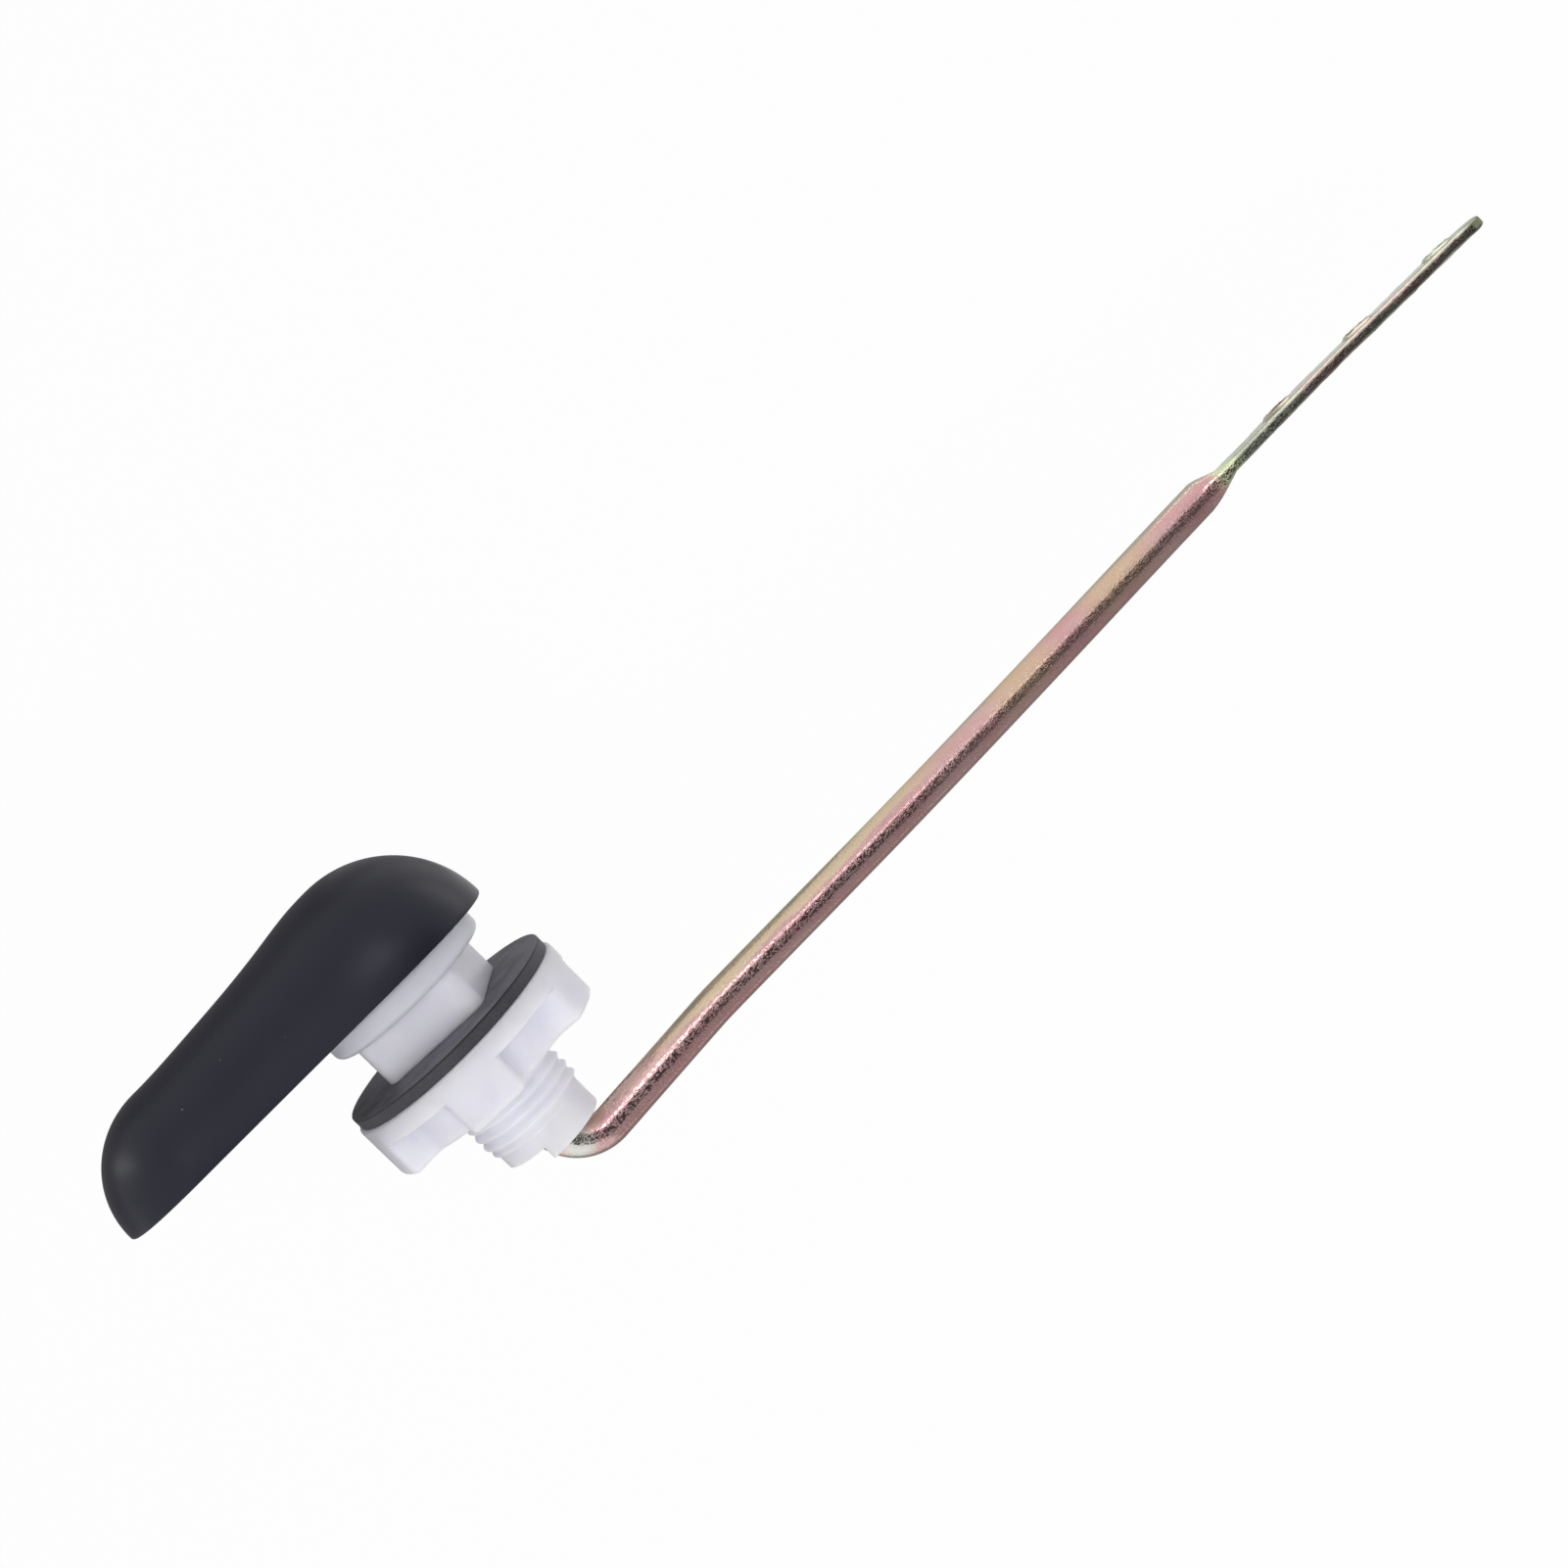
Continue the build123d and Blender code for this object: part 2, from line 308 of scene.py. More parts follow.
# yellow zinc plate of the rod, with pink and olive tints
plateLook = {
    "pink": (0.64, 0.42, 0.41), "rose": (0.62, 0.36, 0.36), "wine": (0.56, 0.345, 0.345),
    "olive": (0.64, 0.51, 0.36), "dusk": (0.46, 0.39, 0.315), "honey": (0.63, 0.455, 0.335),
    # paintedLightPeach: painted reflection, a paler tint that makes the bar near the bend look as if it
    # mirrored more light
    "paintedLightPeach": (0.82, 0.57, 0.48), "silver": (0.74, 0.73, 0.68), "grey": (0.43, 0.44, 0.36),
    "tan": (0.47, 0.36, 0.33), "leaf": (0.70, 0.78, 0.48), "leafShare": 0.8,
    # paintedTipShade: painted shade, the dark olive of the very tip, standing in for a darker
    # reflection
    "paintedTipShade": (0.19, 0.20, 0.14), "edgeTint": (0.62, 0.66, 0.58),
    "grain": {"Fine Scale": 9000.0, "Broad Scale": 5200.0, "Broad Share": 0.6}, "drawnOut": 2.1,
    "roughness": (0.08, 0.14), "pits": (0.47, 0.66), "bump": 1.0, "bumpDepth": 0.021 * mm,
    # long patches that vary the tints
    "patchScale": (22.0, 260.0, 260.0), "patchNoise": {"Scale": 1.0, "Detail": 2.0, "Roughness": 0.45},
    "pinkPatches": (0.38, 0.62), "tanPatches": (0.45, 0.62),
    # where each tint shows across the bar: 0 at the middle line, 1 at the outward side
    "armY": 34.99 * mm, "armRadius": 3.0 * mm, "filmWaver": (0.25, 0.75, -0.1, 0.1),
    "wineFilm": (0.15, 0.35), "oliveFilm": (0.45, 0.66), "honeyFilm": (-0.9, 0.3),
    "paintedLightFilm": (0.1, 0.4), "duskFilm": (0.86, 1.05),
    # where it comes and goes along the arm, in metres from the pivot
    "oliveStretch": ((0.010, 0.026), (0.092, 0.070)), "paintedLightEnd": (0.026, 0.012),
    "honeyStretches": [((0.091, 0.099), (0.112, 0.103)), ((0.113, 0.121), (0.136, 0.126))],
    "leafStretch": ((0.1460, 0.1485), (0.1535, 0.1510)), "flat": (0.1480, 0.1520),
    "tip": (0.2068, 0.2100), "smoother": (0.1500, 0.1760), "flatPits": 0.6,
    # silvery spot on the outside of the bend, where the bar leaves the bushing
    "silverPlace": (-1.9 * mm, 34.4 * mm, 2.2 * mm), "silverReach": (3.7 * mm, 1.2 * mm),
}


def makePlatedSteel():
    look = plateLook
    material, tree, shader, position = startMaterial("platedSteel")
    # the bar is drawn through a die, so its pits run along the arm
    drawOut = {"Rotation": (0, -restTurn, 0), "Scale": (look["drawnOut"], 1.0, 1.0)}
    drawn = addNode(tree, "Mapping", drawOut, vector_type="TEXTURE")
    wire(tree, position, drawn.inputs["Vector"])
    grain = placeGroup(tree, grainGroup, drawn.outputs[0], look["grain"])
    turned = addNode(tree, "Mapping", {"Rotation": (0, restTurn, 0), "Scale": look["patchScale"]})
    wire(tree, position, turned.inputs["Vector"])
    patchNoise = addNode(tree, "TexNoise", look["patchNoise"])
    wire(tree, turned.outputs[0], patchNoise.inputs["Vector"])
    patches = patchNoise.outputs[0]
    along = measure(tree, "DOT_PRODUCT", position, -leverX)
    side = calc(tree, "SUBTRACT", look["armY"], measure(tree, "DOT_PRODUCT", position, intoTank))
    side = calc(tree, "DIVIDE", side, look["armRadius"])
    film = calc(tree, "ADD", side, remap(tree, patches, *look["filmWaver"]))

    def across(name):
        return remap(tree, film, *look[name])

    def stretch(start, end):
        return times(tree, remap(tree, along, *start), remap(tree, along, *end))

    def tint(mask, name):
        return mixColour(tree, mask, colour, look[name])

    # tints of the film, from the middle line out to the edge; the peach near the bend is painted light
    colour = mixColour(tree, remap(tree, patches, *look["pinkPatches"]), look["rose"], look["pink"])
    oliveStretch = stretch(*look["oliveStretch"])
    colour = tint(times(tree, across("wineFilm"), oliveStretch), "wine")
    colour = tint(times(tree, across("oliveFilm"), oliveStretch), "olive")
    for honeyStretch in look["honeyStretches"]:
        colour = tint(times(tree, stretch(*honeyStretch), across("honeyFilm")), "honey")
    # painted reflection: the bar near the bend is painted paler peach, as if it mirrored more light
    colour = tint(times(tree, remap(tree, along, *look["paintedLightEnd"]), across("paintedLightFilm")), "paintedLightPeach")
    colour = tint(across("duskFilm"), "dusk")
    fromSilver = measure(tree, "DISTANCE", position, look["silverPlace"])
    colour = tint(remap(tree, fromSilver, *look["silverReach"]), "silver")
    # the rolled flat is greyer than the drawn bar, and smoother
    flat = mixColour(tree, remap(tree, patches, *look["tanPatches"]), look["grey"], look["tan"])
    colour = mixColour(tree, remap(tree, along, *look["flat"]), colour, flat)
    # painted shade: the very tip is painted dark olive
    colour = tint(remap(tree, along, *look["tip"]), "paintedTipShade")
    colour = tint(times(tree, stretch(*look["leafStretch"]), look["leafShare"]), "leaf")
    smoother = remap(tree, along, *look["smoother"], 1.0, look["flatPits"])
    pits = times(tree, remap(tree, grain.outputs["Broad"], *look["pits"]), smoother)
    shader.inputs["Metallic"].default_value = 1.0
    shader.inputs["Specular Tint"].default_value = (*look["edgeTint"], 1.0)
    finishSurface(tree, shader, look, colour, grain.outputs["Broad"], pits)
    return material


finishes = {
    "handle_plastic": makeHandlePlastic(),
    "white_plastic": makeMilkyPlastic(),
    "washer_rubber": makeWasherRubber(),
    "plated_steel": makePlatedSteel(),
}
print("materials made:", ", ".join(finishes))


# mesh helpers, for lengths in metres

def smoothStep(low, high, value):
    share = min(1.0, max(0.0, (value - low) / (high - low)))
    return share * share * (3 - 2 * share)


def smoothLine(points):
    # smooth line through the points, level at both ends: gives its height and slope at a place
    x, y = np.array(points).T
    gap = np.diff(x)
    rise = np.diff(y)
    system = np.eye(len(x))
    right = np.zeros(len(x))
    for i in range(1, len(x) - 1):
        system[i, i - 1:i + 2] = 1 / gap[i - 1], 2 / gap[i - 1] + 2 / gap[i], 1 / gap[i]
        right[i] = 3 * (rise[i - 1] / gap[i - 1] ** 2 + rise[i] / gap[i] ** 2)
    slopes = np.linalg.solve(system, right)

    def at(place):
        i = min(max(int(np.searchsorted(x, place)) - 1, 0), len(gap) - 1)
        t = (place - x[i]) / gap[i]
        height = ((1 + 2 * t) * (1 - t) ** 2 * y[i] + t * (1 - t) ** 2 * gap[i] * slopes[i]
                  + t * t * (3 - 2 * t) * y[i + 1] - t * t * (1 - t) * gap[i] * slopes[i + 1])
        slope = (6 * t * (1 - t) * rise[i] / gap[i] + (1 - t) * (1 - 3 * t) * slopes[i]
                 + t * (3 * t - 2) * slopes[i + 1])
        return float(height), float(slope)
    return at


def turnsRound(count):
    return [2 * math.pi * i / count for i in range(count)]


def quarterRound(radius, steps=4):
    # steps round an edge: what is left to go on its first face, and the way gone on its second
    for i in range(steps + 1):
        turn = math.pi / 2 * i / steps
        yield radius * (1 - math.sin(turn)), radius * (1 - math.cos(turn))


def addLoop(form, points):
    return [form.verts.new(point) for point in points]


def addRing(form, turns, reaches, y):
    # loop round the pivot, with its own distance from it at each turn
    spots = [(r * math.sin(turn), y, r * math.cos(turn)) for turn, r in zip(turns, reaches)]
    return addLoop(form, spots)


def skinLoops(form, loops, closed=False):
    pairs = list(zip(loops, loops[1:]))
    if closed:
        pairs.append((loops[-1], loops[0]))
    for a, b in pairs:
        for k in range(len(a)):
            form.faces.new((a[k - 1], a[k], b[k], b[k - 1]))


def skinSolid(form, loops):
    # skin with a face across each end
    skinLoops(form, loops)
    form.faces.new(loops[0])
    form.faces.new(loops[-1])


def addDrum(form, base, axis, radius, length, steps=64):
    side = axis.orthogonal().normalized()
    other = axis.cross(side)
    turns = turnsRound(steps)
    loops = []
    for reach in (0.0, length):
        middle = base + axis * reach
        ring = [middle + radius * (math.cos(turn) * side + math.sin(turn) * other) for turn in turns]
        loops.append(addLoop(form, ring))
    skinSolid(form, loops)


def addPrism(form, outline, depth):
    skinSolid(form, [addLoop(form, outline), addLoop(form, [point + depth for point in outline])])


def makeObject(name, form):
    bmesh.ops.recalc_face_normals(form, faces=form.faces)
    mesh = bpy.data.meshes.new(name)
    form.to_mesh(mesh)
    form.free()
    thing = bpy.data.objects.new(name, mesh)
    scene.collection.objects.link(thing)
    return thing


def combine(piece, tool, operation):
    # joins the tool to the piece for good, or cuts it out
    other = makeObject("tool", tool)
    step = piece.modifiers.new("combine", "BOOLEAN")
    step.operation = operation
    step.solver = "MANIFOLD"
    step.object = other
    old = piece.data
    made = bpy.data.meshes.new_from_object(piece.evaluated_get(bpy.context.evaluated_depsgraph_get()))
    piece.modifiers.remove(step)
    piece.data = made
    for mesh in (old, other.data):
        bpy.data.meshes.remove(mesh)
    made.name = piece.name


def combineBlock(piece, operation, corner, edges):
    block = bmesh.new()
    first, second, third = edges
    sides = [(i, j, k) for i in (0, 1) for j in (0, 1) for k in (0, 1)]
    spots = addLoop(block, [corner + first * i + second * j + third * k for i, j, k in sides])
    for face in ((0, 1, 3, 2), (4, 6, 7, 5), (0, 4, 5, 1), (2, 3, 7, 6), (0, 2, 6, 4), (1, 5, 7, 3)):
        block.faces.new([spots[i] for i in face])
    combine(piece, block, operation)


def dressPiece(piece, node, body, slotName, sharpDegrees=40.0):
    piece.data.materials.clear()
    piece.data.materials.append(finishes[slotName])
    piece.data.shade_smooth()
    piece.data.set_sharp_from_angle(angle=math.radians(sharpDegrees))
    flat = piece.modifiers.new("flatFaces", "WEIGHTED_NORMAL")
    flat.keep_sharp = True
    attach(piece, body)
    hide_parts(node)
    print(piece.name, "made with", len(piece.data.polygons), "faces")


# handle: half of a turned shell with a softly rounded rim, a hub and ribs inside

handleForm = {
    "headRadius": 17.85 * mm, "noseRadius": 14.5 * mm, "tipX": 52.6 * mm, "rimY": -3.55 * mm,
    # distance along the blade from the pivot, and how far its side is drawn in from the head's radius
    "waist": [(4.6 * mm, 0.2 * mm), (10.3 * mm, 1.0 * mm),
              (18.7 * mm, 2.05 * mm), (27.0 * mm, 2.75 * mm)],
    "archRadius": 165.0 * mm, "archFlat": 0.08 * mm, "archPasses": 8,
    "wall": 2.2 * mm, "rimRound": 0.22 * mm, "innerRound": 0.2 * mm,
    "hubRadius": 7.0 * mm, "hubY": -4.75 * mm, "hubTop": 16.0 * mm,
    "ribTurns": (49.0, 135.0, -49.0, -135.0),
    "ribWidth": 2.0 * mm, "ribReach": 15.5 * mm, "ribTop": 8.5 * mm,
    "spineX": 36.0 * mm, "spineLow": 4.0 * mm, "spineHigh": 13.6 * mm,
    "socket": 4.24 * mm, "socketDepth": 10.35 * mm,
    "headRows": 40, "bladeRows": 56, "noseRows": 36, "around": 72,
}


def handleOutline(inset, edge):
    # rows along the handle: place, radius and the side's direction in plan
    size = handleForm
    head = size["headRadius"] - inset
    nose = size["noseRadius"] - inset
    noseX = size["tipX"] - size["noseRadius"]
    waist = [(x, head - drawn) for x, drawn in size["waist"]]
    blade = smoothLine([(0.0, head)] + waist + [(noseX, nose)])
    rows = []
    first = math.asin(edge / head)
    for i in range(size["headRows"]):
        turn = first + (math.pi / 2 - first) * i / size["headRows"]
        rows.append((-head * math.cos(turn), head * math.sin(turn), -math.cos(turn), math.sin(turn)))
    for i in range(size["bladeRows"]):
        x = noseX * i / size["bladeRows"]
        radius, slope = blade(x)
        length = math.hypot(1, slope)
        rows.append((x, radius, -slope / length, 1 / length))
    last = math.asin(edge / nose)
    for i in range(size["noseRows"] + 1):
        turn = math.pi / 2 + (last - math.pi / 2) * i / size["noseRows"]
        along, across = math.cos(turn), math.sin(turn)
        rows.append((noseX + nose * along, nose * across, along, across))
    return rows


def rimLift(across):
    # the rim arches away from the wall towards the handle's sides
    radius = handleForm["archRadius"]
    return max(0.0, radius - handleForm["archFlat"] - math.sqrt(radius ** 2 - across ** 2))


def handleSkin(form, inset, edge):
    # one half-turned surface; gives back its border as points and plan directions
    size = handleForm
    base = Vector((0, size["rimY"], 0))
    steps = size["around"]
    grid, plan = [], []
    rows = handleOutline(inset, edge)
    for place, radius, alongShare, acrossShare in rows:
        low = 0.0
        for _ in range(size["archPasses"]):  # settles where the row meets the arched rim
            low = math.asin(min(1.0, (edge + rimLift(radius * math.cos(low))) / radius))
        turns = [low + (math.pi - 2 * low) * j / steps for j in range(steps + 1)]
        if len(grid) in (0, len(rows) - 1):  # each end is a single point
            turns = [math.pi / 2]
        middle = base + leverX * place
        ways = [math.cos(turn) * leverZ - math.sin(turn) * intoTank for turn in turns]
        grid.append(addLoop(form, [middle + radius * way for way in ways]))
        plan.append((leverX * alongShare, leverZ * acrossShare))
    for a, b in zip(grid, grid[1:]):
        for j in range(steps):
            corners = [a[j] if len(a) > 1 else a[0], b[j] if len(b) > 1 else b[0]]
            if len(b) > 1:
                corners.append(b[j + 1])
            if len(a) > 1:
                corners.append(a[j + 1])
            form.faces.new(corners)
    inner = range(1, len(grid) - 1)
    border = [(grid[0][0], plan[0][0])] + [(grid[i][0], plan[i][0] + plan[i][1]) for i in inner]
    border.append((grid[-1][0], plan[-1][0]))
    border += [(grid[i][-1], plan[i][0] - plan[i][1]) for i in reversed(inner)]
    return border


def makeShell():
    # outer and inner skin, joined by the rounded rim
    size = handleForm
    form = bmesh.new()
    bands = []
    for inset, edge, way in ((0.0, size["rimRound"], -1), (size["wall"], size["innerRound"], 1)):
        border = handleSkin(form, inset, edge)
        loops = [[vert for vert, plan in border]]
        for left, into in list(quarterRound(edge))[1:]:
            down = intoTank * (edge - left)
            loops.append(addLoop(form, [vert.co + plan * way * into + down for vert, plan in border]))
        bands.append(loops)
    skinLoops(form, bands[0] + bands[1][::-1])
    return makeObject("handle_shell", form)


def addHubAndRibs(piece):
    size = handleForm
    recess = size["rimY"] - size["hubY"]
    hubEnd = Vector((0, size["hubY"], 0))
    hub = bmesh.new()
    addDrum(hub, hubEnd, -intoTank, size["hubRadius"], size["hubTop"] - recess)
    combine(piece, hub, "UNION")
    for degrees in size["ribTurns"]:
        turn = math.radians(degrees)
        along = math.cos(turn) * leverX + math.sin(turn) * leverZ
        across = along.cross(intoTank) * size["ribWidth"]
        edges = (along * size["ribReach"], across, -intoTank * (size["ribTop"] - recess))
        combineBlock(piece, "UNION", hubEnd - across / 2, edges)
    # spine under the blade
    corners = [(0, size["spineLow"]), (size["spineX"], size["spineLow"]),
               (size["spineX"], size["spineHigh"]), (0, size["hubTop"])]
    side = leverZ * size["ribWidth"] / 2
    outline = [leverX * x - intoTank * (high - size["rimY"]) - side for x, high in corners]
    spine = bmesh.new()
    addPrism(spine, outline, leverZ * size["ribWidth"])
    combine(piece, spine, "UNION")


def cutSocket(piece):
    # square socket in the hub, for the rod's end
    size = handleForm
    wide = size["socket"]
    corner = Vector((0, size["hubY"] + wide, 0)) - leverX * (wide / 2) - leverZ * (wide / 2)
    edges = (leverX * wide, leverZ * wide, -intoTank * (size["socketDepth"] + wide))
    combineBlock(piece, "DIFFERENCE", corner, edges)


def makeHandle():
    piece = makeShell()
    addHubAndRibs(piece)
    cutSocket(piece)
    dressPiece(piece, "handle", "lever", "handle_plastic")


makeHandle()


# bushing: flange, square neck, left-hand thread and a half step at the end of its shank

bushingForm = {
    "flangeRadius": 14.3 * mm, "flangeDepth": 4.4 * mm, "flangeRound": 1.2 * mm, "flangeSteps": 6,
    "neckHalf": 9.5 * mm, "neckCorner": 2.2 * mm, "neckEnd": 7.2 * mm,
    "neckRound": 0.35 * mm, "neckSteps": 3,
    "rootRadius": 8.40 * mm, "crestRadius": 8.94 * mm, "pitch": 1.8 * mm, "crestY": 23.51 * mm,
    "threadStart": 7.8 * mm, "taperStart": 25.4 * mm, "threadEnd": 27.4 * mm,
    "runOut": 1.3 * mm, "threadStep": 0.12 * mm, "ridgePower": 1.6,
    "shankRadius": 8.1 * mm, "stepY": 29.5 * mm, "endY": 31.8 * mm, "endRound": 0.4 * mm,
    "mouthRadius": 6.0 * mm, "mouthDepth": 6.0 * mm, "boreRadius": 3.08 * mm,
    "stopInner": 8.2 * mm, "stopOuter": 11.8 * mm, "stopHeight": 3.0 * mm,
    "stopSpread": 30.0, "stopSteps": 12, "columns": 240, "sharpDegrees": 50.0,
}


def squareReach(turn, half, corner):
    # distance from the middle to the side of a square with rounded corners
    long, short = sorted((abs(math.sin(turn)), abs(math.cos(turn))), reverse=True)
    flat = half / long
    middle = half - corner
    if flat * short <= middle:
        return flat
    along = middle * (long + short)
    return along + math.sqrt(max(0.0, corner ** 2 - 2 * middle ** 2 + along ** 2))


def threadReach(turn, y):
    # left-hand ridge: it climbs along +Y as the angle from +Z towards +X falls
    size = bushingForm
    crest = (y - size["crestY"]) / size["pitch"] + turn / (2 * math.pi)
    crest -= round(crest)
    fade = smoothStep(size["threadStart"], size["threadStart"] + size["runOut"], y)
    fade *= 1 - smoothStep(size["threadEnd"] - size["runOut"], size["threadEnd"], y)
    ridge = (0.5 + 0.5 * math.cos(2 * math.pi * crest)) ** size["ridgePower"]
    taper = smoothStep(size["taperStart"], size["threadEnd"], y)
    root = size["rootRadius"] + (size["shankRadius"] - size["rootRadius"]) * taper
    return root + (size["crestRadius"] - root) * fade * ridge


def cutEndStep(piece):
    # half of the shank's end is cut away
    size = bushingForm
    wide = 2 * size["shankRadius"]
    edges = (Vector((wide, 0, 0)), Vector((0, wide, 0)), Vector((0, 0, 2 * wide)))
    combineBlock(piece, "DIFFERENCE", Vector((0, size["stepY"], -wide)), edges)


def addStop(piece):
    # stop on the flange, under the handle
    size = bushingForm
    half = math.radians(size["stopSpread"]) / 2
    arc = [half * (2 * i / size["stopSteps"] - 1) for i in range(size["stopSteps"] + 1)]
    spots = [(size["stopInner"], turn) for turn in arc]
    spots += [(size["stopOuter"], turn) for turn in reversed(arc)]
    y = size["flangeRound"] - size["flangeDepth"]
    outline = [Vector((r * math.sin(turn), y, r * math.cos(turn))) for r, turn in spots]
    stop = bmesh.new()
    addPrism(stop, outline, Vector((0, -size["stopHeight"] - size["flangeRound"], 0)))
    combine(piece, stop, "UNION")


def makeBushing():
    size = bushingForm
    turns = turnsRound(size["columns"])
    form = bmesh.new()
    loops = []

    def ring(radius, y):
        loops.append(addRing(form, turns, [radius] * len(turns), y))

    def neckRing(inset, y):
        half = size["neckHalf"] - inset
        corner = size["neckCorner"] - inset
        loops.append(addRing(form, turns, [squareReach(turn, half, corner) for turn in turns], y))

    ring(size["boreRadius"], -size["flangeDepth"])
    for into, out in quarterRound(size["flangeRound"], size["flangeSteps"]):
        ring(size["flangeRadius"] - into, out - size["flangeDepth"])
    for out, into in reversed(list(quarterRound(size["flangeRound"], size["flangeSteps"]))):
        ring(size["flangeRadius"] - out, -into)
    for out, up in quarterRound(size["neckRound"], size["neckSteps"]):
        neckRing(-out, up)
    for left, into in quarterRound(size["neckRound"], size["neckSteps"]):
        neckRing(into, size["neckEnd"] - left)
    span = size["threadEnd"] - size["neckEnd"]
    rows = round(span / size["threadStep"])
    for i in range(rows + 1):
        y = size["neckEnd"] + span * i / rows
        loops.append(addRing(form, turns, [threadReach(turn, y) for turn in turns], y))
    for left, into in quarterRound(size["endRound"]):
        ring(size["shankRadius"] - into, size["endY"] - left)
    ring(size["mouthRadius"], size["endY"])
    ring(size["mouthRadius"], size["endY"] - size["mouthDepth"])
    ring(size["boreRadius"], size["endY"] - size["mouthDepth"])
    skinLoops(form, loops, closed=True)
    piece = makeObject("bushing_body", form)
    cutEndStep(piece)
    addStop(piece)
    dressPiece(piece, "bushing", "bushing", "white_plastic", size["sharpDegrees"])


makeBushing()


# rubber washer, a little uneven as cut rubber is

washerForm = {
    "outerRadius": 19.1 * mm, "holeRadius": 9.2 * mm, "lowY": 7.2 * mm, "highY": 9.3 * mm,
    "edgeRound": 0.22 * mm, "edgeSteps": 3, "columns": 160,
    "ripple": 0.04 * mm, "rippleWaves": (3, 2), "rippleShift": 1,
}


def makeWasher():
    size = washerForm
    turns = turnsRound(size["columns"])
    first, second = size["rippleWaves"]
    waves = [math.sin(first * turn) * math.cos(second * turn + size["rippleShift"]) for turn in turns]
    ripples = [size["ripple"] * (0.5 + 0.5 * wave) for wave in waves]
    # the section's four corners, each with the ways into the rubber
    hole, outer = (size["holeRadius"], 1), (size["outerRadius"], -1)
    low, high = (size["lowY"], 1), (size["highY"], -1)
    form = bmesh.new()
    loops = []
    for place, (column, level) in enumerate(((hole, high), (hole, low), (outer, low), (outer, high))):
        radius, inward = column
        y, up = level
        for side, rise in quarterRound(size["edgeRound"], size["edgeSteps"]):
            if place % 2:
                side, rise = rise, side
            reaches = [radius + inward * (side + ripple) for ripple in ripples]
            loops.append(addRing(form, turns, reaches, y + up * rise))
    skinLoops(form, loops, closed=True)
    dressPiece(makeObject("washer_ring", form), "rubber_washer", "washer", "washer_rubber")


makeWasher()


# lock nut: round flange, hub and five square-sided lobes

nutForm = {
    "boreRadius": 9.03 * mm, "flangeRadius": 19.6 * mm, "hubRadius": 15.2 * mm,
    "lowY": 9.3 * mm, "flangeY": 12.6 * mm, "highY": 18.8 * mm,
    "lobeCount": 5, "lobeTurn": 9.0, "lobeHalf": 5.1 * mm,
    "lobeCorner": 1.1 * mm, "leastCorner": 0.02 * mm, "rootCorner": 2.6 * mm,
    "topRound": 1.05 * mm, "topSteps": 8, "flangeRound": 0.5 * mm, "rootRound": 0.5 * mm,
    "boreEdge": 0.4 * mm, "sharpDegrees": 60.0,
    # degrees between columns, finer where the lobe's side turns into the hub
    "coarseStep": 2.0, "fineStep": 0.4, "fineFrom": 10.0, "fineTo": 26.0,
}


def lobeReach(offset, inset):
    # distance from the middle to the side at an angle from a lobe's middle line
    size = nutForm
    half = size["lobeHalf"] - inset
    outer = size["flangeRadius"] - inset
    hub = size["hubRadius"] - inset
    tip = max(size["lobeCorner"] - inset, size["leastCorner"])
    root = size["rootCorner"] + inset
    tipAlong = math.sqrt((outer - tip) ** 2 - (half - tip) ** 2)
    rootAlong = math.sqrt((hub + root) ** 2 - (half + root) ** 2)
    if offset <= math.atan2(half - tip, tipAlong):
        return outer
    if offset <= math.atan2(half, tipAlong):
        along = math.cos(offset) * tipAlong + math.sin(offset) * (half - tip)
        return along + math.sqrt(max(0.0, tip ** 2 - (outer - tip) ** 2 + along ** 2))
    if offset <= math.atan2(half, rootAlong):
        return half / math.sin(offset)
    if offset <= math.atan2(half + root, rootAlong):
        along = math.cos(offset) * rootAlong + math.sin(offset) * (half + root)
        return along - math.sqrt(max(0.0, root ** 2 - (hub + root) ** 2 + along ** 2))
    return hub


def lobeColumns():
    # turns of the columns round the nut, and their angles from the nearest lobe's middle line
    size = nutForm
    sector = 360.0 / size["lobeCount"]

    def spread(start, end, step):
        return [start + step * i for i in range(round((end - start) / step))]

    half = spread(0.0, size["fineFrom"], size["coarseStep"])
    half += spread(size["fineFrom"], size["fineTo"], size["fineStep"])
    half += spread(size["fineTo"], sector / 2, size["coarseStep"])
    half.append(sector / 2)
    steps = [-degrees for degrees in half[:0:-1]] + half[:-1]
    middles = [i * sector - size["lobeTurn"] for i in range(size["lobeCount"])]
    turns = [math.radians(middle + degrees) for middle in middles for degrees in steps]
    return turns, [math.radians(abs(degrees)) for degrees in steps] * size["lobeCount"]


def makeNut():
    size = nutForm
    flange = size["flangeRadius"]
    turns, offsets = lobeColumns()
    form = bmesh.new()
    loops = []

    def ring(y, reach):
        loops.append(addRing(form, turns, [reach(offset) for offset in offsets], y))

    def plain(y, radius):
        ring(y, lambda offset: radius)

    plain(size["lowY"] + size["boreEdge"], size["boreRadius"])
    plain(size["lowY"], size["boreRadius"] + size["boreEdge"])
    for into, up in quarterRound(size["flangeRound"]):
        plain(size["lowY"] + up, flange - into)
    for down, into in quarterRound(size["flangeRound"]):
        ring(size["flangeY"] - down, lambda offset: max(lobeReach(offset, 0.0), flange - into))
    for out, up in quarterRound(size["rootRound"]):
        ring(size["flangeY"] + up, lambda offset: min(lobeReach(offset, -out), flange))
    for down, into in quarterRound(size["topRound"], size["topSteps"]):
        ring(size["highY"] - down, lambda offset: lobeReach(offset, into))
    plain(size["highY"], size["boreRadius"] + size["boreEdge"])
    plain(size["highY"] - size["boreEdge"], size["boreRadius"])
    skinLoops(form, loops, closed=True)
    dressPiece(makeObject("nut_body", form), "lock_nut", "nut", "white_plastic", size["sharpDegrees"])


makeNut()


# rod: round bar with a bend, a slight kick and a flattened, drilled tip

